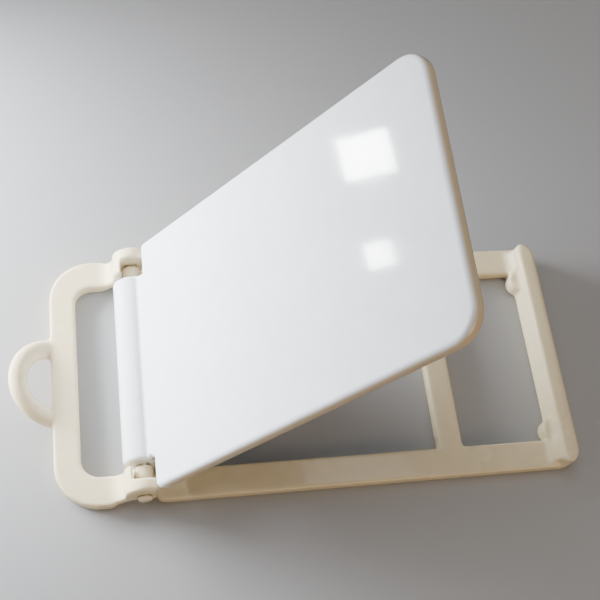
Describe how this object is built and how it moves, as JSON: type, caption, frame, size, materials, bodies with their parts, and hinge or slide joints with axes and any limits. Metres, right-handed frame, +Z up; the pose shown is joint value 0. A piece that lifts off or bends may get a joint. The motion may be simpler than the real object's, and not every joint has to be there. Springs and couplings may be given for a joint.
{
  "type": "hinged cover tag holder",
  "caption": "Flat open-frame tag holder: a plate cover and a slotted strap frame with a hanging loop swing on one hinge line.",
  "frame": {"origin": "bottom centre of the whole holder, on the surface it lies on", "axes": "+X from the strap frame to the end wall, +Y across the holder along the hinge axis, +Z up from the surface"},
  "size_m": [0.1338, 0.062, 0.0903],
  "materials": {
    "frame_plastic": "glossy moulded plastic, warm white",
    "cover_plastic": "high-gloss moulded plastic, white",
    "pin_plastic": "glossy moulded plastic, warm white"
  },
  "bodies": {
    "base": {"base_frame": "frame_plastic"},
    "cover": {"cover_flap": "cover_plastic", "near_hinge_pin": "pin_plastic", "far_hinge_pin": "pin_plastic"},
    "strap": {"strap_frame": "frame_plastic"}
  },
  "joints": [
    {"name": "cover_hinge", "type": "hinge", "parent": "base", "child": "cover", "pos_m": [-0.03792, 0, 0.0065], "axis": [0, -1, 0], "range_deg": [-57.6, 47.4]},
    {"name": "strap_frame_swing", "type": "hinge", "parent": "base", "child": "strap", "pos_m": [-0.03792, 0, 0.0065], "axis": [0, 1, 0], "range_deg": [0, 65]}
  ]
}
